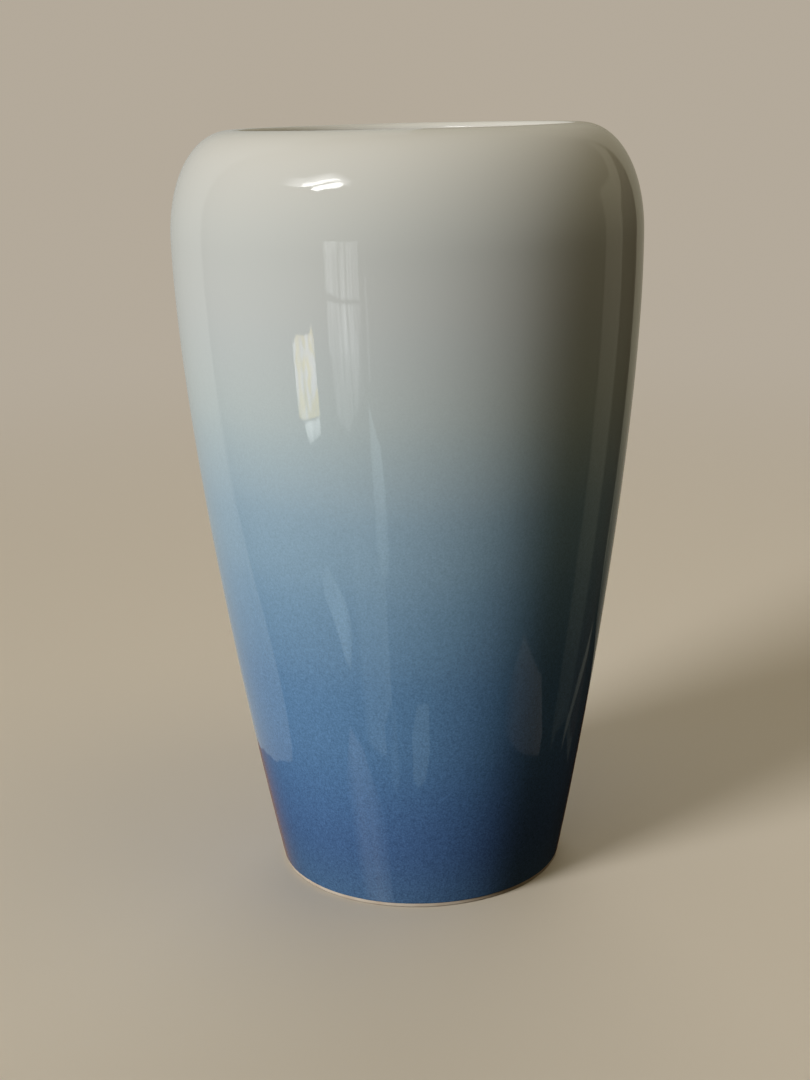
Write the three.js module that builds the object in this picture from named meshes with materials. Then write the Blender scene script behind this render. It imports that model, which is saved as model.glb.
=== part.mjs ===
// A wide-mouthed porcelain vase on a turned foot ring.
//
// Millimetres, +Z up, the origin on the vase's axis at the level it stands on.
// The vase is one fired body of porcelain with three coats of glaze melted onto it: a coloured coat
// over the outside and the lip, a clear white coat inside, and a pool of glaze under the base.
// The foot ring is left bare, because a glazed foot would stick to the kiln shelf.

import * as THREE from 'three';

// The outline, as the finished surface of the outer glaze.
const HEIGHT = 270;
const FOOT_RADIUS = 52.5;
const BELLY_RADIUS = 82.3;
const BELLY_HEIGHT = 233;
const CREST_RADIUS = 60.1;
const WALL_LEAN = THREE.MathUtils.degToRad(11.8);
const WALL_START_PULL = 25;
const WALL_END_PULL = 76.5;
const SHOULDER_FULLNESS = 0.583;

// The body's thickness, glaze included.
const WALL = 5;
const LIP_RADIUS = WALL / 2;
const FLOOR_TOP = 12;
const CORNER_START = 0.2;
const CORNER_REACH = 16;

// The foot ring and the recess that it stands around.
const GLAZE_LINE = 1.5;
const BARE_BAND_TOP = 1.2;
const FOOT_CHAMFER = 0.6;
const RING_WIDTH = 5;
const RECESS_DEPTH = 5;
const RECESS_FILLET = 4;

// The glaze coats, each standing a hair off the body so that the solids stay separate.
const GLAZE = 0.5;
const GAP = 0.3;
const SEAT = GLAZE + GAP;

// How finely the curves are cut, and how near two points may lie before they count as one.
const TURN_STEPS = 48;
const WALL_STEPS = 8;
const SHOULDER_STEPS = 8;
const LIP_STEPS = 3;
const CORNER_STEPS = 4;
const FILLET_STEPS = 3;
const SAME_POINT = 0.01;

const porcelain = new THREE.MeshStandardMaterial({ color: 0xe8dccb, roughness: 0.75, metalness: 0 });
const blueGlaze = new THREE.MeshStandardMaterial({ color: 0x6f8fb2, roughness: 0.12, metalness: 0 });
const whiteGlaze = new THREE.MeshStandardMaterial({ color: 0xe9e6dc, roughness: 0.15, metalness: 0 });

const point = (radius, height) => new THREE.Vector2(radius, height);

// The flared wall, from the glaze line to the belly, leaning out at the foot and upright at the belly.
function wallCurve() {
  const start = point(FOOT_RADIUS + GLAZE_LINE * Math.tan(WALL_LEAN), GLAZE_LINE);
  const startPull = point(
    start.x + WALL_START_PULL * Math.sin(WALL_LEAN),
    start.y + WALL_START_PULL * Math.cos(WALL_LEAN),
  );
  const endPull = point(BELLY_RADIUS, BELLY_HEIGHT - WALL_END_PULL);
  const end = point(BELLY_RADIUS, BELLY_HEIGHT);
  return new THREE.CubicBezierCurve(start, startPull, endPull, end);
}

// The shoulder, a slightly full quarter oval from the belly to the crest of the lip.
function shoulderCurve() {
  const width = BELLY_RADIUS - CREST_RADIUS;
  const rise = HEIGHT - BELLY_HEIGHT;
  return new THREE.CubicBezierCurve(
    point(BELLY_RADIUS, BELLY_HEIGHT),
    point(BELLY_RADIUS, BELLY_HEIGHT + SHOULDER_FULLNESS * rise),
    point(CREST_RADIUS + SHOULDER_FULLNESS * width, HEIGHT),
    point(CREST_RADIUS, HEIGHT),
  );
}

// A quarter of the half-round lip, turning on from the given angle.
function lipCurve(angle) {
  const centreHeight = HEIGHT - LIP_RADIUS;
  return new THREE.EllipseCurve(
    CREST_RADIUS, centreHeight, LIP_RADIUS, LIP_RADIUS, angle, angle + Math.PI / 2,
  );
}

const wall = wallCurve();
const shoulder = shoulderCurve();
const lipCrest = lipCurve(Math.PI / 2);
const lipNose = lipCurve(Math.PI);

// Points along a curve, each moved square to it by depth: positive to the left of its direction.
function inset(curve, depth, steps, from = 0) {
  return Array.from({ length: steps + 1 }, (_, index) => {
    const along = from + ((1 - from) * index) / steps;
    const place = curve.getPoint(along);
    const direction = curve.getTangent(along);
    return point(place.x - direction.y * depth, place.y + direction.x * depth);
  });
}

// The outside from the glaze line up to the lip's innermost line, moved into the wall by depth.
function outside(depth) {
  return [
    ...inset(wall, depth, WALL_STEPS),
    ...inset(shoulder, depth, SHOULDER_STEPS),
    ...inset(lipCrest, depth, LIP_STEPS),
  ];
}

// The curve that turns the inner wall into the floor.
function floorCorner() {
  const [top] = inset(wall, WALL, 1, CORNER_START);
  const lean = wall.getTangent(CORNER_START);
  const bend = point(top.x - ((top.y - FLOOR_TOP) * lean.x) / lean.y, FLOOR_TOP);
  return new THREE.QuadraticBezierCurve(top, bend, point(bend.x - CORNER_REACH, FLOOR_TOP));
}

// The inside from the lip's innermost line down to the middle of the floor, moved into the wall by depth.
function inside(depth) {
  return [
    ...inset(lipNose, depth, LIP_STEPS),
    ...inset(shoulder, WALL - depth, SHOULDER_STEPS).reverse(),
    ...inset(wall, WALL - depth, WALL_STEPS, CORNER_START).reverse(),
    ...inset(floorCorner(), depth, CORNER_STEPS),
    point(0, FLOOR_TOP - depth),
  ];
}

// The recess under the base, from the middle of its roof out to the foot ring, moved up by depth.
function recess(depth) {
  const fillet = new THREE.EllipseCurve(
    FOOT_RADIUS - RING_WIDTH - RECESS_FILLET, GLAZE_LINE,
    RECESS_FILLET, RECESS_DEPTH - GLAZE_LINE,
    Math.PI / 2, 0, true,
  );
  return [point(0, RECESS_DEPTH + depth), ...inset(fillet, depth, FILLET_STEPS)];
}

// The bare foot ring, from its inner edge across the face it stands on and up to the glaze line.
function footRing() {
  const inner = FOOT_RADIUS - RING_WIDTH;
  return [
    point(inner, BARE_BAND_TOP),
    point(inner, 0),
    point(FOOT_RADIUS - FOOT_CHAMFER, 0),
    point(FOOT_RADIUS, FOOT_CHAMFER),
    point(FOOT_RADIUS, BARE_BAND_TOP),
  ];
}

// Whether an outline's point lies clear of the one before it.
function standsApart(place, index, outline) {
  return index === 0 || place.distanceTo(outline[index - 1]) > SAME_POINT;
}

// Revolves an outline around the upright axis. A point that falls on the one before is left out.
function turned(name, outline, material) {
  const geometry = new THREE.LatheGeometry(outline.filter(standsApart), TURN_STEPS);
  geometry.rotateX(Math.PI / 2);
  const mesh = new THREE.Mesh(geometry, material);
  mesh.name = name;
  return mesh;
}

// A closed skin between a finished surface and the surface that faces the body.
function skinRing(surface, back) {
  return [...surface, ...back.reverse(), surface[0].clone()];
}

const body = turned(
  'porcelain_body',
  [...recess(SEAT), ...footRing(), ...outside(SEAT), ...inside(SEAT)],
  porcelain,
);
const outerGlaze = turned('outer_glaze', skinRing(outside(0), outside(GLAZE)), blueGlaze);
const innerGlaze = turned('inner_glaze', [...inside(GLAZE).reverse(), ...inside(0)], whiteGlaze);
const baseGlaze = turned('base_glaze', [...recess(0), ...recess(GLAZE).reverse()], whiteGlaze);

const vase = new THREE.Group();
vase.add(body, outerGlaze, innerGlaze, baseGlaze);

export default vase;
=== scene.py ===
"""A wide-mouthed porcelain vase, glazed from warm white at the lip to deep blue at the foot.

Metres, +Z up, the origin on the vase's axis at the level it stands on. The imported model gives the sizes
that the vase shares with its design, and each class names the sizes of its own.
"""

import logging
import math
from collections.abc import Callable, Sequence
from dataclasses import dataclass, field
from enum import Enum

import bmesh
import bpy
from mathutils import Matrix, Vector, noise

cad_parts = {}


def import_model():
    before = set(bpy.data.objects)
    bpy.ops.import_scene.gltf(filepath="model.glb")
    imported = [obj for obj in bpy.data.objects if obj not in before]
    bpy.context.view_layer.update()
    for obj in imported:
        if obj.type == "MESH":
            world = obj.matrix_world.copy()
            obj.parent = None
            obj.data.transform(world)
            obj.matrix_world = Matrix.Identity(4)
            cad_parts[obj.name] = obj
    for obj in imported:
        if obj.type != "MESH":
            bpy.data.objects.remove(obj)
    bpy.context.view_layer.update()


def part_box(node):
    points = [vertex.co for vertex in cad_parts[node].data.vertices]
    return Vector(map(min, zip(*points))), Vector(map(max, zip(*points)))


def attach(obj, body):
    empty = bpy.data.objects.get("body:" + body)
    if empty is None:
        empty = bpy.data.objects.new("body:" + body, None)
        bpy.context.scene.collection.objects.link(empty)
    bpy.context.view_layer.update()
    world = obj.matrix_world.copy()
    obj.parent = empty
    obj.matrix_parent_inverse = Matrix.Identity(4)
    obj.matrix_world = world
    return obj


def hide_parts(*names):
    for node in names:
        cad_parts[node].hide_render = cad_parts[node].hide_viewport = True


Colour = tuple[float, float, float]
Position = tuple[float, float, float]
Outline = list[Vector]
Relief = Callable[[Vector, Vector, float], Vector]

log = logging.getLogger("vase")

BODY_NAME = "root"
ON_AXIS = 1e-7
MASTER_CURVE = 3


class CadNode(Enum):
    """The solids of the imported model."""

    BODY = "porcelain_body"
    OUTER_GLAZE = "outer_glaze"
    INNER_GLAZE = "inner_glaze"
    BASE_GLAZE = "base_glaze"


class Slot(Enum):
    """The finishes that the record names."""

    BARE_PORCELAIN = "bare_porcelain"
    BLUE_GLAZE = "blue_glaze"
    WHITE_GLAZE = "white_glaze"


class Blend(Enum):
    """How one colour of a row runs into the next."""

    STRAIGHT = "LINEAR"
    SMOOTH = "CARDINAL"


class Ray(Enum):
    """The kinds of light ray that a part of the studio can be hidden from."""

    CAMERA = "visible_camera"
    DIFFUSE = "visible_diffuse"
    GLOSSY = "visible_glossy"
    SHADOW = "visible_shadow"


# Curves and outlines.


@dataclass(frozen=True)
class Sweep:
    """A cubic curve in the cross-section, where a point is (radius, height)."""

    start: Vector
    start_pull: Vector
    end_pull: Vector
    end: Vector

    def place(self, share: float) -> Vector:
        """Finds a point on the curve.

        Args:
            share: how far along the curve, from 0 to 1.

        Returns:
            The point as (radius, height).
        """
        rest = 1 - share
        return (
            self.start * rest**3
            + self.start_pull * (3 * rest**2 * share)
            + self.end_pull * (3 * rest * share**2)
            + self.end * share**3
        )

    def direction(self, share: float) -> Vector:
        """Finds which way the curve runs at a point.

        Args:
            share: how far along the curve, from 0 to 1.

        Returns:
            A unit vector along the curve.
        """
        rest = 1 - share
        slope = (
            (self.start_pull - self.start) * rest**2
            + (self.end_pull - self.start_pull) * (2 * rest * share)
            + (self.end - self.end_pull) * share**2
        )
        return slope.normalized()


@dataclass(frozen=True)
class Arc:
    """A stretch of an upright ellipse in the cross-section."""

    centre: Vector
    half_width: float
    half_height: float
    start_angle: float
    end_angle: float

    def angle(self, share: float) -> float:
        """The angle at a share of the way round."""
        return self.start_angle + (self.end_angle - self.start_angle) * share

    def place(self, share: float) -> Vector:
        """Finds a point on the arc.

        Args:
            share: how far along the arc, from 0 to 1.

        Returns:
            The point as (radius, height).
        """
        turn = self.angle(share)
        reach = Vector((self.half_width * math.cos(turn), self.half_height * math.sin(turn)))
        return self.centre + reach

    def direction(self, share: float) -> Vector:
        """Finds which way the arc runs at a point.

        Args:
            share: how far along the arc, from 0 to 1.

        Returns:
            A unit vector along the arc.
        """
        turn = self.angle(share)
        onward = math.copysign(1, self.end_angle - self.start_angle)
        slope = Vector((-self.half_width * math.sin(turn), self.half_height * math.cos(turn)))
        return (slope * onward).normalized()


def inset(curve: Sweep | Arc, depth: float, steps: int, start: float = 0.0) -> Outline:
    """Walks along a curve, each point moved square to it.

    Args:
        curve: the curve to follow.
        depth: how far to move, positive to the left of the curve's direction.
        steps: how many steps to take.
        start: the share of the curve to leave out at its beginning.

    Returns:
        The moved points in order.
    """
    points = []
    for index in range(steps + 1):
        share = start + (1 - start) * index / steps
        way = curve.direction(share)
        points.append(curve.place(share) + Vector((-way.y, way.x)) * depth)
    return points


def surface_part(surface: Outline, outline: Outline) -> float:
    """The share of a whole outline that its finished surface takes up."""
    return (len(surface) - 1) / (len(outline) - 1)


def smooth(share: float) -> float:
    """Eases a number from 0 to 1, held at both ends."""
    held = min(1.0, max(0.0, share))
    return held * held * (3 - 2 * held)


@dataclass(frozen=True)
class CrossSection:
    """The vase's cross-section, as the finished surface of its glaze.

    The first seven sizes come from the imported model.
    """

    height: float
    belly_radius: float
    glaze_line: float
    lip_radius: float
    floor_top: float
    recess_depth: float
    ring_inner_radius: float
    foot_radius: float = 0.0525
    belly_height: float = 0.233
    crest_radius: float = 0.0601
    wall_lean: float = math.radians(11.8)
    wall_start_pull: float = 0.025
    wall_end_pull: float = 0.0765
    shoulder_fullness: float = 0.583
    corner_start: float = 0.2
    corner_reach: float = 0.016
    recess_fillet: float = 0.004
    bead_radius: float = 0.00045
    wall_steps: int = 150
    shoulder_steps: int = 60
    lip_steps: int = 16
    corner_steps: int = 24
    bead_steps: int = 7

    @classmethod
    def from_frame(cls, coat: float) -> "CrossSection":
        """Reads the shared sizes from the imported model.

        Args:
            coat: the thickness of a glaze coat.

        Returns:
            The cross-section.
        """
        outer_low, outer_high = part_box(CadNode.OUTER_GLAZE.value)
        inner_low, inner_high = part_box(CadNode.INNER_GLAZE.value)
        _, base_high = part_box(CadNode.BASE_GLAZE.value)
        return cls(
            height=outer_high.z,
            belly_radius=outer_high.x,
            glaze_line=outer_low.z,
            lip_radius=outer_high.z - inner_high.z,
            floor_top=inner_low.z + coat,
            recess_depth=base_high.z - coat,
            ring_inner_radius=base_high.x - coat,
        )

    @property
    def wall(self) -> Sweep:
        """The flared wall, from the glaze line to the belly."""
        lean = Vector((math.sin(self.wall_lean), math.cos(self.wall_lean)))
        start = Vector((self.foot_radius + self.glaze_line * math.tan(self.wall_lean), self.glaze_line))
        end = Vector((self.belly_radius, self.belly_height))
        return Sweep(start, start + lean * self.wall_start_pull, end - Vector((0, self.wall_end_pull)), end)

    @property
    def shoulder(self) -> Sweep:
        """The shoulder, a slightly full quarter oval from the belly to the crest of the lip."""
        width = self.belly_radius - self.crest_radius
        rise = self.height - self.belly_height
        return Sweep(
            Vector((self.belly_radius, self.belly_height)),
            Vector((self.belly_radius, self.belly_height + self.shoulder_fullness * rise)),
            Vector((self.crest_radius + self.shoulder_fullness * width, self.height)),
            Vector((self.crest_radius, self.height)),
        )

    def lip(self, start_angle: float) -> Arc:
        """A quarter of the half-round lip, turning on from the given angle."""
        centre = Vector((self.crest_radius, self.height - self.lip_radius))
        return Arc(centre, self.lip_radius, self.lip_radius, start_angle, start_angle + math.pi / 2)

    @property
    def bead_top(self) -> float:
        """The share of the wall's curve at which the glaze's rolled edge ends."""
        rise = self.bead_radius * (1 - math.sin(self.wall_lean))
        return rise / (3 * self.wall_start_pull * math.cos(self.wall_lean))

    def bead(self) -> Outline:
        """The glaze's rolled lower edge, from the bare band out to the wall.

        Returns:
            The points in order, without the last, where the wall begins.
        """
        top = self.wall.place(self.bead_top)
        outward = Vector((math.cos(self.wall_lean), -math.sin(self.wall_lean)))
        centre = top - outward * self.bead_radius
        arc = Arc(centre, self.bead_radius, self.bead_radius, -math.pi / 2, -self.wall_lean)
        return inset(arc, 0, self.bead_steps)[:-1]

    def outside(self, depth: float, fineness: float = 1.0, start: float = 0.0) -> Outline:
        """The outside from the glaze line up to the lip's innermost line.

        Args:
            depth: how far into the wall.
            fineness: the share of the full number of steps.
            start: the share of the wall's curve to leave out.

        Returns:
            The points in order.
        """
        return [
            *inset(self.wall, depth, round(self.wall_steps * fineness), start),
            *inset(self.shoulder, depth, round(self.shoulder_steps * fineness))[1:],
            *inset(self.lip(math.pi / 2), depth, round(self.lip_steps * fineness))[1:],
        ]

    def floor_corner(self) -> Sweep:
        """The curve that turns the inner wall into the floor.

        Returns:
            The curve.
        """
        thickness = 2 * self.lip_radius
        top = inset(self.wall, thickness, 1, self.corner_start)[0]
        lean = self.wall.direction(self.corner_start)
        bend = Vector((top.x - (top.y - self.floor_top) * lean.x / lean.y, self.floor_top))
        end = bend - Vector((self.corner_reach, 0))
        return Sweep(top, top.lerp(bend, 2 / 3), end.lerp(bend, 2 / 3), end)

    def inside(self, depth: float, fineness: float = 1.0) -> Outline:
        """The inside from the lip's innermost line down to the middle of the floor.

        Args:
            depth: how far into the wall.
            fineness: the share of the full number of steps.

        Returns:
            The points in order.
        """
        back = 2 * self.lip_radius - depth
        floor = self.floor_top - depth
        corner = inset(self.floor_corner(), depth, round(self.corner_steps * fineness))
        floor_steps = round(self.corner_steps * fineness)
        return [
            *inset(self.lip(math.pi), depth, round(self.lip_steps * fineness)),
            *inset(self.shoulder, back, round(self.shoulder_steps * fineness))[::-1][1:],
            *inset(self.wall, back, round(self.wall_steps * fineness), self.corner_start)[::-1][1:],
            *corner[1:],
            *(Vector((corner[-1].x * (1 - step / floor_steps), floor)) for step in range(1, floor_steps + 1)),
        ]

    def recess(self, depth: float, fineness: float = 1.0) -> Outline:
        """The recess under the base, from the middle of its roof out to the foot ring.

        Args:
            depth: how far up into the base.
            fineness: the share of the full number of steps.

        Returns:
            The points in order.
        """
        fillet = Arc(
            Vector((self.ring_inner_radius - self.recess_fillet, self.glaze_line)),
            self.recess_fillet,
            self.recess_depth - self.glaze_line,
            math.pi / 2,
            0,
        )
        rounded = inset(fillet, depth, round(self.lip_steps * fineness))
        roof_steps = round(self.corner_steps * fineness)
        roof = [Vector((rounded[0].x * step / roof_steps, rounded[0].y)) for step in range(roof_steps)]
        return [*roof, *rounded]


# The wheel: turning an outline into a mesh, and the marks that making leaves on it.


def put_in_scene(name: str, builder: bmesh.types.BMesh) -> bpy.types.Object:
    """Closes a mesh that was being built and puts it in the scene.

    Args:
        name: the new object's name.
        builder: the mesh being built, which is used up.

    Returns:
        The new object.
    """
    mesh_data = bpy.data.meshes.new(name)
    builder.to_mesh(mesh_data)
    builder.free()
    thing = bpy.data.objects.new(name, mesh_data)
    bpy.context.scene.collection.objects.link(thing)
    return thing


@dataclass(frozen=True)
class Wheel:
    """Turns an outline around the upright axis into a mesh."""

    turns: int = 240
    sharp_angle: float = math.radians(40)

    def turn(self, name: str, outline: Outline, relief: Relief | None = None) -> bpy.types.Object:
        """Makes one turned piece.

        Args:
            name: the piece's name.
            outline: its cross-section, running up on the outside. It closes on itself, unless
                either end lies on the axis.
            relief: moves a point of the surface, given the point, its outward normal and its share
                of the way along the outline.

        Returns:
            The new object, linked to the scene.
        """
        builder = bmesh.new()
        rings = [
            self._ring(builder, point, self._normal(outline, index), index / (len(outline) - 1), relief)
            for index, point in enumerate(outline)
        ]
        open_ended = min(outline[0].x, outline[-1].x) < ON_AXIS
        following = rings[1:] if open_ended else [*rings[1:], rings[0]]
        for lower, upper in zip(rings, following):
            self._band(builder, lower, upper)
        piece = put_in_scene(name, builder)
        piece.data.shade_smooth()
        piece.data.set_sharp_from_angle(angle=self.sharp_angle)
        return piece

    @staticmethod
    def _normal(outline: Outline, index: int) -> Vector:
        """Finds which way the surface faces at a point of its outline.

        Args:
            outline: the outline.
            index: the point's place in it.

        Returns:
            The outward normal.
        """
        before = outline[max(index - 1, 0)]
        after = outline[min(index + 1, len(outline) - 1)]
        along = (after - before).normalized()
        return Vector((along.y, -along.x))

    def _ring(
        self,
        builder: bmesh.types.BMesh,
        point: Vector,
        normal: Vector,
        share: float,
        relief: Relief | None,
    ) -> list[bmesh.types.BMVert]:
        """Adds one ring of vertices, or one vertex where the outline meets the axis.

        Args:
            builder: the mesh being built.
            point: the outline's point.
            normal: the outline's outward normal there.
            share: the point's share of the way along the outline.
            relief: moves the ring's points, if given.

        Returns:
            The new vertices.
        """
        if point.x < ON_AXIS:
            return [builder.verts.new((0, 0, point.y))]
        ring = []
        for step in range(self.turns):
            angle = 2 * math.pi * step / self.turns
            place = Vector((point.x * math.cos(angle), point.x * math.sin(angle), point.y))
            if relief is not None:
                outward = Vector((normal.x * math.cos(angle), normal.x * math.sin(angle), normal.y))
                place = relief(place, outward, share)
            ring.append(builder.verts.new(place))
        return ring

    def _band(
        self,
        builder: bmesh.types.BMesh,
        lower: Sequence[bmesh.types.BMVert],
        upper: Sequence[bmesh.types.BMVert],
    ) -> None:
        """Joins two rings with faces.

        Args:
            builder: the mesh being built.
            lower: the ring that comes first along the outline.
            upper: the ring that comes next.
        """
        if len(lower) == 1 and len(upper) == 1:
            return
        for step in range(self.turns):
            onward = (step + 1) % self.turns
            if len(lower) == 1:
                builder.faces.new((lower[0], upper[onward], upper[step]))
            elif len(upper) == 1:
                builder.faces.new((lower[step], lower[onward], upper[0]))
            else:
                builder.faces.new((lower[step], lower[onward], upper[onward], upper[step]))


@dataclass(frozen=True)
class GlazeRelief:
    """The faint unevenness of a poured glaze: long swells, and an edge that wavers a little."""

    swell: float = 0.00006
    swell_length: float = 0.03
    surface_share: float = 1.0
    fade: float = 0.03
    waver: float = 0.0
    waver_length: float = 0.012
    waver_reach: float = 0.006
    edge_height: float = 0.0
    seed: float = 0.0

    def __call__(self, place: Vector, outward: Vector, share: float) -> Vector:
        """Moves one point of the surface.

        Args:
            place: the point.
            outward: the surface's normal there.
            share: the point's share of the way along the outline.

        Returns:
            The moved point.
        """
        if share > self.surface_share:
            return place
        along = share / self.surface_share
        strength = smooth(along / self.fade) * smooth((1 - along) / self.fade)
        spot = place / self.swell_length + Vector((self.seed, 0, 0))
        moved = place + outward * (self.swell * strength * noise.noise(spot))
        above = (place.z - self.edge_height) / self.waver_reach
        lift = self.waver * (1 - smooth(above)) * noise.noise(place / self.waver_length)
        return moved + Vector((0, 0, lift))


@dataclass(frozen=True)
class ThrowingRings:
    """The low rings that a thrower's fingers leave, rising in a slow spiral.

    The surface that carries them is the last part of the outline.
    """

    depth: float = 0.00005
    spacing: float = 0.008
    surface_share: float = 1.0
    fade: float = 0.05

    def __call__(self, place: Vector, outward: Vector, share: float) -> Vector:
        """Moves one point of the surface.

        Args:
            place: the point.
            outward: the surface's normal there.
            share: the point's share of the way along the outline.

        Returns:
            The moved point.
        """
        if 1 - share > self.surface_share:
            return place
        along = (1 - share) / self.surface_share
        strength = smooth(along / self.fade) * smooth((1 - along) / self.fade)
        climb = math.atan2(place.y, place.x) / (2 * math.pi)
        reach = place.z + Vector((place.x, place.y)).length
        wave = math.sin(2 * math.pi * (reach / self.spacing + climb))
        return place + outward * (self.depth * strength * wave)


# Finishes.


@dataclass
class NodeBench:
    """The node tree of a material, or of the room's light, with short ways to add and join its nodes."""

    name: str
    for_room: bool = False
    owner: bpy.types.Material | bpy.types.World = field(init=False)

    def __post_init__(self) -> None:
        """Starts an empty node tree."""
        store = bpy.data.worlds if self.for_room else bpy.data.materials
        self.owner = store.new(self.name)
        self.owner.use_nodes = True
        self.owner.node_tree.nodes.clear()

    def add(self, kind: str, settings: dict | None = None, **sockets: object) -> bpy.types.Node:
        """Adds one node.

        Args:
            kind: the node's type, without its ShaderNode prefix.
            settings: the node's own properties.
            sockets: a value or an output for each input, named with _ for a space.

        Returns:
            The new node.
        """
        node = self.owner.node_tree.nodes.new("ShaderNode" + kind)
        for name, value in (settings or {}).items():
            setattr(node, name, value)
        for name, value in sockets.items():
            self.feed(node, name.replace("_", " "), value)
        return node

    def feed(self, node: bpy.types.Node, socket: str | int, value: object) -> None:
        """Sets or joins one input.

        Args:
            node: the node.
            socket: the input's name or number.
            value: a plain value, or another node's output.
        """
        entry = node.inputs[socket]
        if isinstance(value, bpy.types.NodeSocket):
            self.owner.node_tree.links.new(value, entry)
        else:
            entry.default_value = value

    def math(self, operation: str, *values: object) -> bpy.types.NodeSocket:
        """Works out one sum.

        Args:
            operation: the Math node's operation.
            values: its inputs in order.

        Returns:
            The result's output.
        """
        node = self.add("Math", {"operation": operation})
        for index, value in enumerate(values):
            self.feed(node, index, value)
        return node.outputs[0]

    def speckle(self, scale: float, detail: float) -> bpy.types.NodeSocket:
        """A noise pattern in the object's own space: its patches to the metre, and its finer octaves."""
        place = self.add("TexCoord").outputs["Object"]
        return self.add("TexNoise", Vector=place, Scale=scale, Detail=detail).outputs[0]

    def ramp(
        self, share: object, stops: Sequence[tuple[float, Colour]], blend: Blend = Blend.SMOOTH
    ) -> bpy.types.NodeSocket:
        """Blends through a row of colours.

        Args:
            share: the output that runs along the row.
            stops: each colour with its place, from 0 to 1.
            blend: how one colour runs into the next.

        Returns:
            The colour's output.
        """
        node = self.add("ValToRGB", Fac=share)
        node.color_ramp.interpolation = blend.value
        elements = node.color_ramp.elements
        while len(elements) < len(stops):
            elements.new(1.0)
        for element, (place, colour) in zip(elements, stops):
            element.position = place
            element.color = (*colour, 1)
        return node.outputs[0]

    def shade(self, colour: object, factor: object) -> bpy.types.NodeSocket:
        """Multiplies a colour by a number that varies over the surface.

        Args:
            colour: the colour's output.
            factor: the number's output.

        Returns:
            The new colour's output.
        """
        node = self.add("VectorMath", {"operation": "SCALE"})
        self.feed(node, 0, colour)
        self.feed(node, "Scale", factor)
        return node.outputs[0]

    def bump(self, height: object, distance: float) -> bpy.types.NodeSocket:
        """The normal of a bump whose pattern stands a given distance high, in metres."""
        return self.add("Bump", Strength=1.0, Distance=distance, Height=height).outputs[0]

    def finish(self, **sockets: object) -> bpy.types.Material:
        """Adds the surface shader and closes the material.

        Args:
            sockets: the shader's inputs, named with _ for a space.

        Returns:
            The material.
        """
        shader = self.add("BsdfPrincipled", **sockets)
        self.add("OutputMaterial", Surface=shader.outputs[0])
        return self.owner

    def shine(self, colour: object, strength: object) -> bpy.types.Material:
        """Makes the surface give light of its own and closes the material.

        Args:
            colour: the light's colour.
            strength: its strength.

        Returns:
            The material.
        """
        light = self.add("Emission", Color=colour, Strength=strength)
        self.add("OutputMaterial", Surface=light.outputs[0])
        return self.owner


@dataclass(frozen=True)
class BlueGlaze:
    """The outer coat: warm white at the lip, running down through grey-blue to deep mottled blue."""

    height: float
    roughness: float = 0.03
    ior: float = 1.5
    drift: float = 0.004
    drift_scale: float = 28.0
    mottle: float = 0.36
    mottle_scale: float = 650.0
    grain: float = 0.95
    grain_scale: float = 1600.0
    mottled_below: float = 0.23
    orange_peel: float = 0.000004
    orange_peel_scale: float = 260.0
    stops: tuple[tuple[float, Colour], ...] = (
        (0.0, (0.105, 0.200, 0.365)),
        (0.10, (0.100, 0.195, 0.405)),
        (0.22, (0.138, 0.275, 0.510)),
        (0.34, (0.185, 0.340, 0.560)),
        (0.46, (0.295, 0.465, 0.640)),
        (0.56, (0.415, 0.570, 0.690)),
        (0.66, (0.600, 0.700, 0.725)),
        (0.78, (0.695, 0.740, 0.735)),
        (0.90, (0.705, 0.725, 0.695)),
        (1.0, (0.700, 0.690, 0.650)),
    )

    def material(self) -> bpy.types.Material:
        """Builds the glaze.

        Returns:
            The material.
        """
        bench = NodeBench("blue_glaze")
        place = bench.add("TexCoord").outputs["Object"]
        level = bench.add("SeparateXYZ", Vector=place).outputs["Z"]
        swing = bench.math("SUBTRACT", bench.speckle(self.drift_scale, 3.0), 0.5)
        drifted = bench.math("MULTIPLY_ADD", swing, self.drift, level)
        share = bench.math("DIVIDE", drifted, self.height)
        colour = bench.ramp(share, self.stops)
        ease = {"interpolation_type": "SMOOTHSTEP"}
        depth = bench.add("MapRange", ease, Value=level, From_Min=self.mottled_below, From_Max=0.0)
        coarse = bench.math("SUBTRACT", bench.speckle(self.mottle_scale, 2.0), 0.5)
        fine = bench.math("SUBTRACT", bench.speckle(self.grain_scale, 1.0), 0.5)
        spots = bench.math("MULTIPLY_ADD", coarse, self.mottle, bench.math("MULTIPLY", fine, self.grain))
        tone = bench.math("MULTIPLY_ADD", spots, depth.outputs[0], 1.0)
        return bench.finish(
            Base_Color=bench.shade(colour, tone),
            Roughness=self.roughness,
            IOR=self.ior,
            Normal=bench.bump(bench.speckle(self.orange_peel_scale, 2.0), self.orange_peel),
        )


@dataclass(frozen=True)
class WhiteGlaze:
    """The clear coat over the white body, inside the vase and under its base."""

    name: str
    colour: Colour = (0.74, 0.70, 0.62)
    pooled: Colour = (0.66, 0.68, 0.64)
    cloud_scale: float = 45.0
    roughness: float = 0.07
    ior: float = 1.5
    orange_peel: float = 0.000004
    orange_peel_scale: float = 240.0

    def material(self) -> bpy.types.Material:
        """Builds the glaze.

        Returns:
            The material.
        """
        bench = NodeBench(self.name)
        cloud = bench.speckle(self.cloud_scale, 3.0)
        return bench.finish(
            Base_Color=bench.ramp(cloud, ((0.25, self.pooled), (0.75, self.colour))),
            Roughness=self.roughness,
            IOR=self.ior,
            Normal=bench.bump(bench.speckle(self.orange_peel_scale, 2.0), self.orange_peel),
        )


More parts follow.
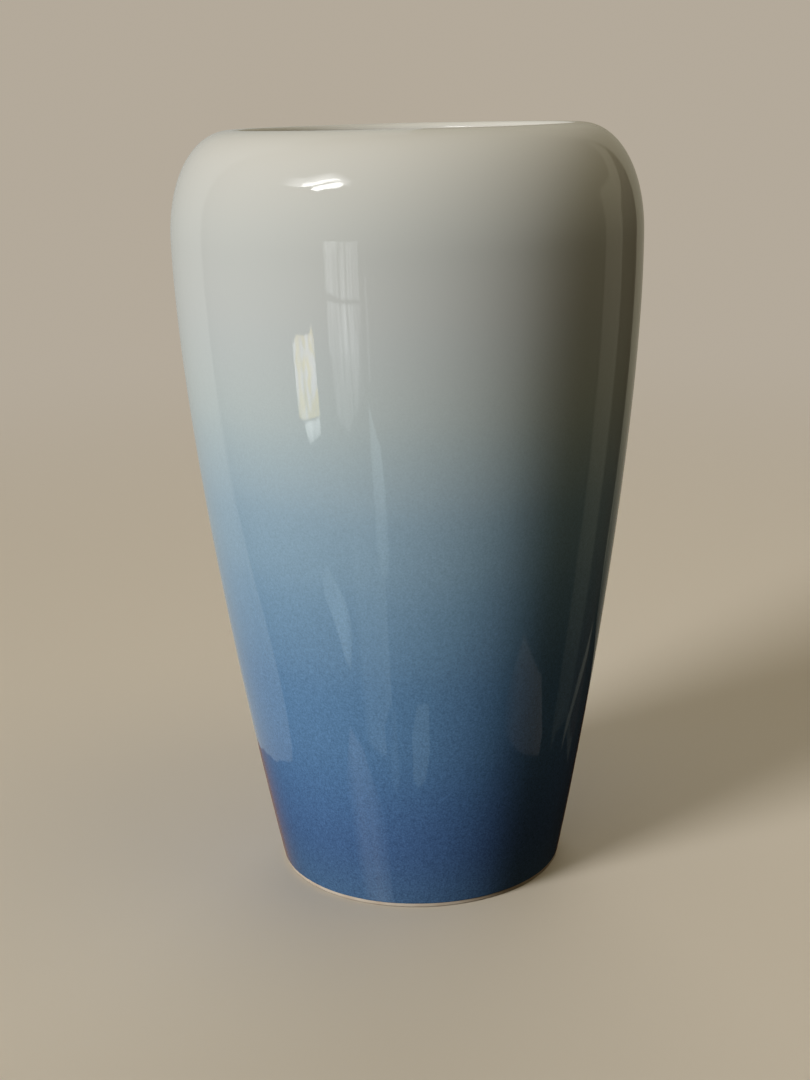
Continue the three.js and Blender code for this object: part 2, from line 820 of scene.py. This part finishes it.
@dataclass(frozen=True)
class BarePorcelain:
    """Fired porcelain with no glaze on it: cream, matt and finely grained."""

    colour: Colour = (0.74, 0.65, 0.54)
    flushed: Colour = (0.66, 0.54, 0.42)
    cloud_scale: float = 160.0
    grain: float = 0.12
    grain_scale: float = 3500.0
    grit: float = 0.00002
    roughness: float = 0.7

    def material(self) -> bpy.types.Material:
        """Builds the bare body.

        Returns:
            The material.
        """
        bench = NodeBench("bare_porcelain")
        colour = bench.ramp(bench.speckle(self.cloud_scale, 4.0), ((0.3, self.flushed), (0.7, self.colour)))
        grain = bench.speckle(self.grain_scale, 2.0)
        tone = bench.math("MULTIPLY_ADD", bench.math("SUBTRACT", grain, 0.5), self.grain, 1.0)
        return bench.finish(
            Base_Color=bench.shade(colour, tone),
            Roughness=self.roughness,
            Normal=bench.bump(grain, self.grit),
        )


# The vase's pieces.


@dataclass(frozen=True)
class Coating:
    """How a glaze coat lies on the body."""

    thickness: float = 0.0005
    tuck: float = 0.00005
    back_fineness: float = 0.25

    @property
    def body_depth(self) -> float:
        """How deep the body's surface lies under the glaze's, a hair inside the coat."""
        return self.thickness - self.tuck


def settle(piece: bpy.types.Object, node: CadNode, slot: Slot, finish: bpy.types.Material) -> None:
    """Dresses a piece and puts it in its solid's place.

    Args:
        piece: the piece.
        node: the solid that it stands for.
        slot: the record's finish, which is only named in the log.
        finish: its material.
    """
    piece.data.materials.append(finish)
    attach(piece, BODY_NAME)
    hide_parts(node.value)
    log.info("%s: %d faces, finish %s", piece.name, len(piece.data.polygons), slot.value)


@dataclass(frozen=True)
class VasePiece:
    """What every piece of the vase is made from."""

    section: CrossSection
    coating: Coating
    wheel: Wheel


@dataclass(frozen=True)
class PorcelainBody(VasePiece):
    """The fired body, which shows only where the foot ring is left bare."""

    edge_round: float = 0.0006
    edge_steps: int = 6
    ring_groove: float = 0.00002
    ring_spacing: float = 0.0007
    ring_steps: int = 40
    fineness: float = 0.5

    def foot_ring(self) -> Outline:
        """The bare ring, from its inner edge across the face that it stands on and up its outside.

        Returns:
            The points in order.
        """
        section, edge = self.section, self.edge_round
        inner_edge = Arc(
            Vector((section.ring_inner_radius + edge, edge)), edge, edge, math.pi, 1.5 * math.pi
        )
        outer_edge = Arc(Vector((section.foot_radius - edge, edge)), edge, edge, 1.5 * math.pi, 2 * math.pi)
        first = section.ring_inner_radius + edge
        width = section.foot_radius - edge - first
        face = []
        for step in range(1, self.ring_steps):
            across = width * step / self.ring_steps
            groove = self.ring_groove * (1 - math.cos(2 * math.pi * across / self.ring_spacing)) / 2
            face.append(Vector((first + across, groove)))
        return [
            Vector((section.ring_inner_radius, section.glaze_line)),
            *inset(inner_edge, 0, self.edge_steps),
            *face,
            *inset(outer_edge, 0, self.edge_steps),
            Vector((section.foot_radius, section.glaze_line)),
        ]

    def build(self) -> bpy.types.Object:
        """Makes the body.

        Returns:
            The piece.
        """
        depth = self.coating.body_depth
        outline = [
            *self.section.recess(depth, self.fineness),
            *self.foot_ring(),
            *self.section.outside(depth, self.fineness),
            *self.section.inside(depth, self.fineness)[1:],
        ]
        piece = self.wheel.turn("porcelain_body_fired", outline)
        settle(piece, CadNode.BODY, Slot.BARE_PORCELAIN, BarePorcelain().material())
        return piece


@dataclass(frozen=True)
class OuterGlaze(VasePiece):
    """The coloured coat, from its rolled edge above the foot to the innermost line of the lip."""

    edge_waver: float = 0.00012

    def build(self) -> bpy.types.Object:
        """Makes the coat.

        Returns:
            The piece.
        """
        section, coating = self.section, self.coating
        surface = [*section.bead(), *section.outside(0, start=section.bead_top)]
        back = section.outside(coating.thickness, coating.back_fineness)[::-1]
        outline = [*surface, *back]
        relief = GlazeRelief(
            surface_share=surface_part(surface, outline),
            waver=self.edge_waver,
            edge_height=section.glaze_line,
        )
        piece = self.wheel.turn("outer_glaze_coat", outline, relief)
        settle(piece, CadNode.OUTER_GLAZE, Slot.BLUE_GLAZE, BlueGlaze(section.height).material())
        return piece


@dataclass(frozen=True)
class InnerGlaze(VasePiece):
    """The white coat inside, from the lip down over the floor."""

    def build(self) -> bpy.types.Object:
        """Makes the coat.

        Returns:
            The piece.
        """
        back = self.section.inside(self.coating.thickness, self.coating.back_fineness)[::-1]
        surface = self.section.inside(0)
        outline = [*back, *surface]
        rings = ThrowingRings(surface_share=surface_part(surface, outline))
        piece = self.wheel.turn("inner_glaze_coat", outline, rings)
        settle(piece, CadNode.INNER_GLAZE, Slot.WHITE_GLAZE, WhiteGlaze("inner_glaze").material())
        return piece


@dataclass(frozen=True)
class BaseGlaze(VasePiece):
    """The pool of white glaze in the recess under the base."""

    swell: float = 0.00004
    seed: float = 7.0

    def build(self) -> bpy.types.Object:
        """Makes the coat.

        Returns:
            The piece.
        """
        surface = self.section.recess(0)
        back = self.section.recess(self.coating.thickness, self.coating.back_fineness)[::-1]
        outline = [*surface, *back]
        relief = GlazeRelief(swell=self.swell, surface_share=surface_part(surface, outline), seed=self.seed)
        piece = self.wheel.turn("base_glaze_pool", outline, relief)
        settle(piece, CadNode.BASE_GLAZE, Slot.WHITE_GLAZE, WhiteGlaze("base_glaze").material())
        return piece


# The studio.


class LampKind(Enum):
    """The kinds of lamp that light the vase."""

    DISTANT = "SUN"
    NEARBY = "AREA"


def bearing(azimuth: float, elevation: float) -> Vector:
    """The unit vector of a bearing: degrees round from the front to the right, and degrees up."""
    turn, tilt = math.radians(azimuth), math.radians(elevation)
    return Vector((math.sin(turn) * math.cos(tilt), -math.cos(turn) * math.cos(tilt), math.sin(tilt)))


def hide_from(thing: bpy.types.Object, *rays: Ray) -> None:
    """Hides a part of the studio from some kinds of ray."""
    for ray in rays:
        setattr(thing, ray.value, False)


def hang_lamp(
    name: str, kind: LampKind, energy: float, colour: Colour, away: Vector
) -> bpy.types.Object:
    """Hangs a lamp that faces the vase and makes no highlight of its own on the glaze.

    Args:
        name: the lamp's name.
        kind: its kind.
        energy: how strong it is.
        colour: its colour.
        away: where it hangs.

    Returns:
        The lamp.
    """
    lamp_data = bpy.data.lights.new(name, kind.value)
    lamp_data.energy = energy
    lamp_data.color = colour
    lamp = bpy.data.objects.new(name, lamp_data)
    lamp.location = away
    lamp.rotation_mode = "QUATERNION"
    lamp.rotation_quaternion = away.to_track_quat("Z", "Y")
    hide_from(lamp, Ray.GLOSSY)
    bpy.context.scene.collection.objects.link(lamp)
    return lamp


@dataclass(frozen=True)
class Lamp:
    """A soft distant light."""

    name: str
    azimuth: float
    elevation: float
    strength: float
    spread: float
    colour: Colour

    def build(self) -> None:
        """Hangs the lamp."""
        away = bearing(self.azimuth, self.elevation)
        lamp = hang_lamp(self.name, LampKind.DISTANT, self.strength, self.colour, away)
        lamp.data.angle = math.radians(self.spread)


@dataclass(frozen=True)
class Softbox:
    """A wide lamp near the vase, which lights its top more than its foot."""

    name: str
    place: Position
    width: float
    power: float
    colour: Colour

    def build(self) -> None:
        """Hangs the lamp, facing the vase."""
        lamp = hang_lamp(self.name, LampKind.NEARBY, self.power, self.colour, Vector(self.place))
        lamp.data.shape = "DISK"
        lamp.data.size = self.width
        hide_from(lamp, Ray.CAMERA)


class Layer(Enum):
    """How far from the vase a card hangs, in metres. A nearer card covers a farther one."""

    FRONT = 1.4
    MIDDLE = 1.5
    BACK = 1.6
    FARTHEST = 2.1


@dataclass(frozen=True)
class Column:
    """One upright line of a card, in degrees as seen from the vase, and how brightly its ends glow."""

    azimuth: float
    low: float
    high: float
    low_glow: float = 1.0
    high_glow: float = 1.0


@dataclass(frozen=True)
class Card:
    """A glowing card that shows only as a reflection in the glaze, with its columns in order."""

    name: str
    strength: float
    colour: Colour
    columns: tuple[Column, ...]
    folds: float = 0.0
    fold_scale: float = 14.0
    fold_stretch: float = 0.06
    tint: Colour | None = None
    tint_scale: float = 9.0
    layer: Layer = Layer.MIDDLE
    eye_height: float = 0.14

    def build(self) -> None:
        """Hangs the card."""
        eye = Vector((0, 0, self.eye_height))
        builder = bmesh.new()
        glow = builder.verts.layers.float.new("glow")
        edges = []
        for column in self.columns:
            edge = []
            for level, brightness in ((column.low, column.low_glow), (column.high, column.high_glow)):
                corner = builder.verts.new(eye + bearing(column.azimuth, level) * self.layer.value)
                corner[glow] = brightness
                edge.append(corner)
            edges.append(edge)
        for left, right in zip(edges, edges[1:]):
            builder.faces.new((left[0], right[0], right[1], left[1]))
        card = put_in_scene(self.name, builder)
        card.data.materials.append(self._glow())
        hide_from(card, Ray.CAMERA, Ray.DIFFUSE, Ray.SHADOW)

    def _glow(self) -> bpy.types.Material:
        """Builds the card's light, streaked by upright folds.

        Returns:
            The material.
        """
        bench = NodeBench(self.name)
        place = bench.add("TexCoord").outputs["Object"]
        upright = bench.add("Mapping", Vector=place, Scale=(1.0, 1.0, self.fold_stretch))
        streaks = bench.add("TexNoise", Vector=upright.outputs[0], Scale=self.fold_scale, Detail=3.0)
        swing = bench.math("SUBTRACT", streaks.outputs[0], 0.5)
        fold = bench.math("MULTIPLY_ADD", swing, self.folds * self.strength, self.strength)
        brightness = bench.add("Attribute", {"attribute_name": "glow"}).outputs["Fac"]
        level = bench.math("MULTIPLY", bench.math("MAXIMUM", fold, 0.0), brightness)
        colour = (*self.colour, 1)
        if self.tint:
            patches = bench.speckle(self.tint_scale, 1.0)
            colour = bench.ramp(patches, ((0.45, self.colour), (0.60, self.tint), (0.75, self.colour)))
        return bench.shine(colour, level)


@dataclass(frozen=True)
class Surround:
    """The pale floor and the pale haze that it fades into."""

    haze: Colour = (0.455, 0.400, 0.325)
    floor_tint: Colour = (0.76, 0.69, 0.59)
    below: Colour = (0.012, 0.008, 0.004)
    level: Colour = (0.062, 0.052, 0.031)
    overhead: Colour = (0.26, 0.23, 0.17)
    radius: float = 5.0
    fade_from: float = 0.25
    fade_to: float = 1.4
    rings: int = 24
    segments: int = 96

    def _shell(self, name: str, outline: Outline, finish: bpy.types.Material) -> None:
        """Turns an outline into a thin shell that only the camera sees.

        Args:
            name: the shell's name.
            outline: points as (radius, height), the last on the axis.
            finish: its material.
        """
        shell = Wheel(self.segments).turn(name, outline)
        shell.data.materials.append(finish)
        hide_from(shell, Ray.GLOSSY, Ray.DIFFUSE, Ray.SHADOW)

    def _floor_finish(self) -> bpy.types.Material:
        """Builds the floor's finish, which fades outwards into the haze.

        Returns:
            The material.
        """
        bench = NodeBench("floor")
        place = bench.add("TexCoord").outputs["Object"]
        reach = bench.add("VectorMath", {"operation": "LENGTH"}, Vector=place).outputs["Value"]
        ease = {"interpolation_type": "SMOOTHERSTEP"}
        share = bench.add("MapRange", ease, Value=reach, From_Min=self.fade_from, From_Max=self.fade_to)
        near = bench.add("BsdfDiffuse", Color=(*self.floor_tint, 1))
        far = bench.add("Emission", Color=(*self.haze, 1), Strength=1.0)
        blend = bench.add("MixShader", Fac=share.outputs[0])
        bench.feed(blend, 1, near.outputs[0])
        bench.feed(blend, 2, far.outputs[0])
        bench.add("OutputMaterial", Surface=blend.outputs[0])
        return bench.owner

    def build(self) -> None:
        """Lays the floor, raises the haze and sets the dim light of the room."""
        floor_line = [Vector((self.radius * (1 - step / self.rings), 0)) for step in range(self.rings + 1)]
        self._shell("floor", floor_line, self._floor_finish())
        dome = Arc(Vector((0, 0)), self.radius, self.radius, 0, math.pi / 2)
        self._shell("haze", inset(dome, 0, self.rings), NodeBench("haze").shine((*self.haze, 1), 1.0))
        self._light_room()

    def _light_room(self) -> None:
        """Sets the dim light of the room, which comes mostly from overhead."""
        tones = ((0.4, self.below), (0.52, self.level), (1.0, self.overhead))
        bench = NodeBench("room", for_room=True)
        way = bench.add("TexCoord").outputs["Generated"]
        rise = bench.add("SeparateXYZ", Vector=way).outputs["Z"]
        share = bench.add("MapRange", Value=rise, From_Min=-1.0).outputs[0]
        light = bench.add("Background", Color=bench.ramp(share, tones, Blend.STRAIGHT))
        bench.add("OutputWorld", Surface=light.outputs[0])
        bpy.context.scene.world = bench.owner


@dataclass(frozen=True)
class Viewpoint:
    """The camera."""

    place: Position = (0.0097, -0.5812, 0.2796)
    tilt: float = math.radians(15.178)
    heading: float = math.radians(-1.296)
    roll: float = math.radians(-1.413)
    lens: float = 54.45
    sensor: float = 36.0

    def build(self) -> None:
        """Sets up the camera and makes it the scene's own."""
        forward = Vector(
            (
                math.sin(self.heading) * math.cos(self.tilt),
                math.cos(self.heading) * math.cos(self.tilt),
                -math.sin(self.tilt),
            )
        )
        level = Vector((math.cos(self.heading), -math.sin(self.heading), 0))
        upright = level.cross(forward)
        right = level * math.cos(self.roll) + upright * math.sin(self.roll)
        above = upright * math.cos(self.roll) - level * math.sin(self.roll)
        camera_data = bpy.data.cameras.new("camera")
        camera_data.lens = self.lens
        camera_data.sensor_width = self.sensor
        camera = bpy.data.objects.new("camera", camera_data)
        turned = Matrix((right, above, -forward)).transposed().to_4x4()
        camera.matrix_world = Matrix.Translation(self.place) @ turned
        bpy.context.scene.collection.objects.link(camera)
        bpy.context.scene.camera = camera


def lamp_cards() -> tuple[Card, ...]:
    """The pair of ceiling tubes that make the crisp highlight on the shoulder.

    Returns:
        The cards.
    """
    white = (1.0, 1.0, 1.0)
    near = (
        Column(-48.5, 34.8, 36.0),
        Column(-45, 34.1, 38.3),
        Column(-40, 36.3, 40.8),
        Column(-36, 37.4, 42.3),
        Column(-32.8, 39.2, 41.3),
    )
    far = (
        Column(-54.4, 35.6, 38.6),
        Column(-48.8, 37.3, 40.3),
        Column(-44.3, 39.6, 43.4),
        Column(-38.5, 43.4, 45.0),
        Column(-36, 43.4, 44.2),
    )
    spill = (
        Column(-68, 35, 41, 0.0, 0.0),
        Column(-57, 35, 42, 0.5, 0.3),
        Column(-50, 37, 48, 1.0, 0.0),
        Column(-44, 41, 51, 1.0, 0.0),
        Column(-37, 42, 49, 0.8, 0.0),
        Column(-28, 38, 44, 0.0, 0.0),
    )
    return (
        Card("near_tube", 14.0, white, near),
        Card("far_tube", 13.0, white, far),
        Card("tube_spill", 9.0, white, spill, layer=Layer.BACK),
    )


def window_cards() -> tuple[Card, ...]:
    """The curtained window, its drapes and the sunlit patch beside it.

    Returns:
        The cards.
    """
    daylight = (0.94, 0.98, 1.0)
    cool = (0.72, 0.92, 1.0)
    sunshine = (1.0, 0.97, 0.96)
    yellow = (1.0, 0.80, 0.22)
    leaf_light = (0.92, 1.0, 1.0)
    sky = (0.85, 0.88, 1.0)
    pleats = 26.0
    curtain_top = (
        Column(-37.4, -5.8, 6),
        Column(-29.6, -6.6, 6),
        Column(-28.6, -6.6, 6),
        Column(-21.4, -6.6, 6),
    )
    curtain = (
        Column(-37.0, -12, -6.6, 0.7, 0.8),
        Column(-30.0, -12, -7.2),
        Column(-24.2, -12, -7.2),
        Column(-21.0, -12, -7.2, 0.3, 0.5),
    )
    cord = (Column(-18.8, -15, -4, 0.6, 0.6), Column(-17.9, -15, -4))
    drape = (
        Column(-36, -17, -12, 0.1, 0.7),
        Column(-34.4, -18, -12, 0.5),
        Column(-30, -19, -12, 0.4),
        Column(-24.2, -17, -12, 0.3, 1.0),
        Column(-21.0, -16, -12, 0.0, 0.3),
    )
    drape_fold = (
        Column(-19.4, -29, -16.8, 0.5, 0.8),
        Column(-17.4, -30, -18.6, 0.6),
        Column(-14.4, -30, -20.6, 0.5),
        Column(-13.0, -28, -24.0, 0.3, 0.3),
    )
    sill = (
        Column(-55.8, -16.9, -10.7),
        Column(-53.4, -17.3, -9.8),
        Column(-46.4, -17.3, -9.9),
        Column(-45.2, -17.3, -9.0),
        Column(-44.4, -17.3, -10.5),
    )
    leaf = (Column(-53.2, -17.8, -17.5), Column(-51.2, -19.1, -17.5), Column(-44.6, -18.6, -17.5))
    haze = (
        Column(-37, -40, -24, 0.0, 0.0),
        Column(-32, -41, -24, 0.5, 0.2),
        Column(-16, -42, -24, 0.8, 0.2),
    )
    window_glint = (
        Column(-52.5, -29.8, -28.2, 0.6, 0.3),
        Column(-48, -32.2, -28.2, 1.0, 0.4),
        Column(-44, -34.5, -29.6, 1.0, 0.8),
        Column(-41, -35.2, -30.6, 0.7, 1.0),
        Column(-38, -33.6, -32.4, 0.5, 0.5),
    )
    low_glint = (Column(-22, -43, -40, 0.3, 0.0), Column(-17, -44, -38.5, 1.0, 0.4), Column(-14, -43.5, -39))
    far_glint = (
        Column(-4, -43.5, -41),
        Column(0, -44, -38.8),
        Column(5, -43.5, -38.6),
        Column(8, -42, -38.6),
    )
    table_glint = (
        Column(-56, -51, -42, 0.0, 0.0),
        Column(-46, -54, -39, 0.6, 0.8),
        Column(-38, -56, -41, 1.0, 0.6),
        Column(-30, -56, -44, 0.7, 0.2),
        Column(-25, -56, -46, 0.0, 0.0),
    )
    return (
        Card("curtain_top", 1.7, daylight, curtain_top, folds=4.4, fold_scale=pleats),
        Card("curtain", 1.8, daylight, curtain, folds=3.8, fold_scale=pleats),
        Card("cord", 0.9, daylight, cord),
        Card("drape", 1.5, daylight, drape, folds=3.8, fold_scale=pleats),
        Card("drape_fold", 1.4, cool, drape_fold),
        Card(
            "sunlit_sill",
            4.2,
            sunshine,
            sill,
            folds=1.6,
            fold_scale=16.0,
            fold_stretch=0.5,
            tint=yellow,
            tint_scale=15.0,
        ),
        Card("sunlit_leaf", 3.6, leaf_light, leaf, folds=2.0, fold_scale=30.0, fold_stretch=1.0),
        Card("window_haze", 1.1, cool, haze, layer=Layer.BACK),
        Card("window_glint", 1.3, cool, window_glint),
        Card("low_glint", 0.3, cool, low_glint),
        Card("far_glint", 0.6, cool, far_glint),
        Card("table_glint", 0.9, sky, table_glint),
    )


def room_cards() -> tuple[Card, ...]:
    """The pale walls beside and behind the vase, and what stands in front of them.

    Returns:
        The cards.
    """
    lit = (0.94, 0.94, 0.85)
    shaded = (1.0, 0.90, 0.66)
    timber = (1.0, 0.55, 0.26)
    dusky = (0.95, 0.78, 0.72)
    side_wall = (
        Column(-97.5, -33.5, -31.5),
        Column(-99, -35.5, -29.5),
        Column(-102, -36.0, -27.0),
        Column(-105, -35.7, -24.7),
        Column(-109, -35.2, -20),
        Column(-110, -35, -10),
    )
    back_wall_foot = ((-110, -35), (-118, -33.9), (-133, -31.5), (-145, -29.4), (-162, -26.4), (-180, -24))
    back_wall = tuple(Column(azimuth, low, 60) for azimuth, low in back_wall_foot)
    shaded_wall = (Column(-180, -8, 60), Column(-216, -8, 60), Column(-219, -8, 50))
    wall_foot = (
        Column(-180, -24, -8),
        Column(-206, -23.5, -8, 0.4),
        Column(-215, -23, -8, 0.2),
        Column(-218, -20, -8),
    )
    door_frame = (
        Column(106.5, -34, 16, 0.1, 0.6),
        Column(122, -31, 18, 0.1, 0.6),
        Column(139, -31, 34, 0.1, 0.5),
    )
    cupboard = (
        Column(122, -31, 8),
        Column(128, -31, 13),
        Column(134, -31, 20.5),
        Column(138.5, -30.5, 24.5),
        Column(141, -30, 24.5),
    )
    cable = (Column(122, -33.6, -32.0), Column(129, -30.2, -28.4), Column(139, -25.9, -24.1))
    thin_cable = (Column(107, -35.4, -34.0), Column(115, -31.8, -30.2))
    table_top = (
        Column(-98, -60, -36.5, 0.0, 0.0),
        Column(-118, -60, -33.9, 0.1, 0.1),
        Column(-133, -60, -31.5, 0.4, 0.4),
        Column(-145, -60, -29.4, 0.7, 0.7),
        Column(-162, -60, -26.4),
        Column(-180, -60, -24, 0.6, 0.6),
        Column(-200, -60, -24, 0.0, 0.0),
    )
    table_corner = (
        Column(61, -38.4, -36.0, 0.1, 0.4),
        Column(69, -38.7, -31.8, 0.6, 0.8),
        Column(87.5, -37.6, -32.9, 0.6, 0.8),
        Column(95.5, -36.8, -35.6, 0.6, 0.8),
    )
    return (
        Card("side_wall", 0.45, lit, side_wall),
        Card("back_wall", 0.45, lit, back_wall),
        Card("shaded_wall", 0.27, shaded, shaded_wall),
        Card("wall_foot", 0.27, shaded, wall_foot),
        Card("door_frame", 0.55, shaded, door_frame, layer=Layer.FARTHEST),
        Card("dark_cupboard", 0.03, timber, cupboard),
        Card("cable", 0.14, shaded, cable, layer=Layer.FRONT),
        Card("thin_cable", 0.08, shaded, thin_cable, layer=Layer.FRONT),
        Card("table_top", 0.30, timber, table_top),
        Card("table_corner", 0.30, dusky, table_corner),
    )


@dataclass(frozen=True)
class Exposure:
    """The camera's response: true colours, with the darkest tones pressed down as film does."""

    toe: tuple[tuple[float, float], ...] = ((0.02, 0.0145), (0.06, 0.053), (0.15, 0.148), (0.5, 0.5))

    def build(self) -> None:
        """Sets the scene's colour response."""
        response = bpy.context.scene.view_settings
        response.view_transform = "Standard"
        response.use_curve_mapping = True
        curve = response.curve_mapping.curves[MASTER_CURVE]
        for light, shown in self.toe:
            curve.points.new(light, shown)
        response.curve_mapping.update()


@dataclass(frozen=True)
class Studio:
    """Everything round the vase: floor, haze, lamps, reflection cards and camera."""

    key: Lamp = Lamp("key", -51, 21, 2.42, 20, (1.0, 0.99, 0.97))
    fill: Lamp = Lamp("fill", 178, 8, 1.4, 50, (1.0, 0.97, 0.93))
    ceiling: Softbox = Softbox("ceiling", (0.22, -0.12, 0.9), 0.4, 0.65, (1.0, 0.90, 0.66))
    cards: tuple[Card, ...] = field(default_factory=lambda: (*lamp_cards(), *window_cards(), *room_cards()))

    def build(self) -> None:
        """Sets up the studio."""
        Surround().build()
        for part in (self.key, self.fill, self.ceiling, *self.cards):
            part.build()
            log.info("studio: %s", part.name)
        Viewpoint().build()
        Exposure().build()


def main() -> None:
    """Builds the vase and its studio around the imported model."""
    logging.basicConfig(level=logging.INFO, format="%(name)s: %(message)s")
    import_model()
    Studio().build()
    coating = Coating()
    section = CrossSection.from_frame(coating.thickness)
    wheel = Wheel()
    for piece in (PorcelainBody, OuterGlaze, InnerGlaze, BaseGlaze):
        piece(section, coating, wheel).build()


if __name__ == "__main__":
    main()
